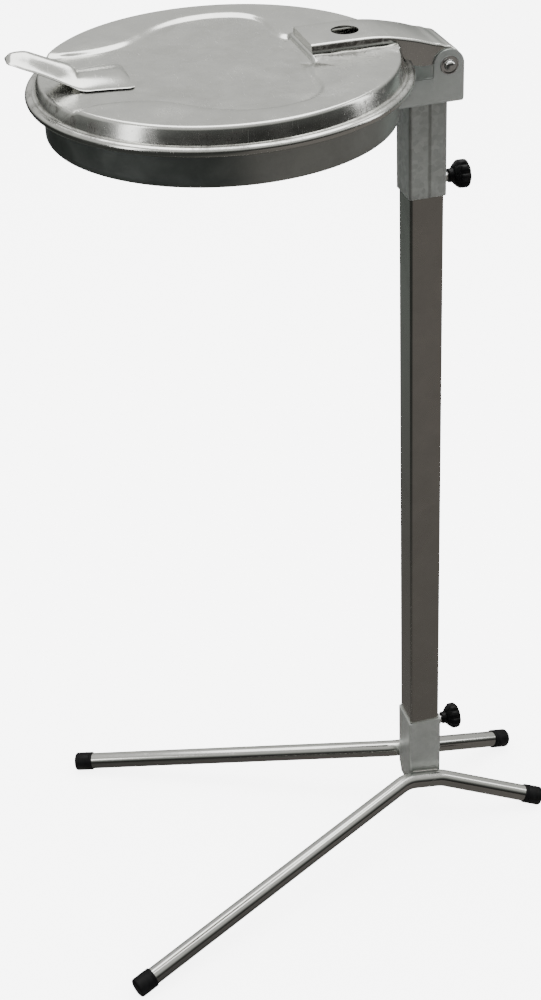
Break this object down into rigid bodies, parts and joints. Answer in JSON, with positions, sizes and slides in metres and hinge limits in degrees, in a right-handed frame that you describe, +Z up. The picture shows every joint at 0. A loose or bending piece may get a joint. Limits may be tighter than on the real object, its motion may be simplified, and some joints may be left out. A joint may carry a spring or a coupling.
{
  "type": "free-standing waste sack holder with hinged lid",
  "caption": "Height-adjustable stand on four splayed legs that holds a waste sack in a round ring under a hinged pressed-metal lid with a front handle.",
  "frame": {"origin": "centre of the box on the floor plane, under the middle of the stand", "axes": "+Z up; -Y to the front, where the lid handle is; the part is mirror-symmetric in X"},
  "size_m": [0.443, 0.613, 1.149],
  "materials": {
    "zinc_sheet": "zinc-plated sheet steel, semi-bright",
    "zinc_tube": "galvanised tube, soft spangle",
    "bright_zinc": "bright zinc-plated, glossy",
    "pin_steel": "polished steel",
    "black_plastic": "moulded black plastic",
    "cap_plastic": "soft black plastic"
  },
  "bodies": {
    "base": {"base_socket": "zinc_tube", "leg_tube_right": "bright_zinc", "leg_tube_left": "bright_zinc", "foot_cap_front_right": "cap_plastic", "foot_cap_front_left": "cap_plastic", "foot_cap_rear_right": "cap_plastic", "foot_cap_rear_left": "cap_plastic", "clamp_nut_lower": "pin_steel"},
    "post": {"post": "zinc_tube", "post_plug": "cap_plastic"},
    "head": {"upper_sleeve": "zinc_tube", "clamp_nut_upper": "pin_steel", "hinge_bracket": "zinc_sheet", "bag_ring": "zinc_sheet", "hinge_pin": "pin_steel", "pin_cap_right": "pin_steel", "pin_cap_left": "pin_steel"},
    "lid": {"lid": "bright_zinc", "hinge_arm": "bright_zinc", "handle": "bright_zinc"},
    "upper_screw": {"clamp_screw_upper": "pin_steel"},
    "upper_knob": {"knob_upper": "black_plastic"},
    "lower_screw": {"clamp_screw_lower": "pin_steel"},
    "lower_knob": {"knob_lower": "black_plastic"}
  },
  "joints": [
    {"name": "post_height", "type": "slide", "parent": "base", "child": "post", "axis": [0, 0, 1], "range_m": [0, 0.06]},
    {"name": "head_height", "type": "slide", "parent": "post", "child": "head", "axis": [0, 0, 1], "range_m": [-0.036, 0.045]},
    {"name": "lid_hinge", "type": "hinge", "parent": "head", "child": "lid", "pos_m": [0, 0.16513, 1.0855], "axis": [-1, 0, 0], "range_deg": [0, 95]},
    {"name": "upper_screw_travel", "type": "slide", "parent": "head", "child": "upper_screw", "axis": [0, 1, 0], "range_m": [0, 0.0025]},
    {"name": "upper_knob_turn", "type": "hinge", "parent": "upper_screw", "child": "upper_knob", "pos_m": [0, 0.18763, 0.9405], "axis": [0, 1, 0], "range_deg": [0, 730]},
    {"name": "lower_screw_travel", "type": "slide", "parent": "base", "child": "lower_screw", "axis": [0, 1, 0], "range_m": [0, 0.0025]},
    {"name": "lower_knob_turn", "type": "hinge", "parent": "lower_screw", "child": "lower_knob", "pos_m": [0, 0.18763, 0.1365], "axis": [0, 1, 0], "range_deg": [0, 730]}
  ],
  "couplings": [
    {"joint": "upper_knob_turn", "follows": "upper_screw_travel", "rad_per_m": 5026.5},
    {"joint": "lower_knob_turn", "follows": "lower_screw_travel", "rad_per_m": 5026.5}
  ]
}
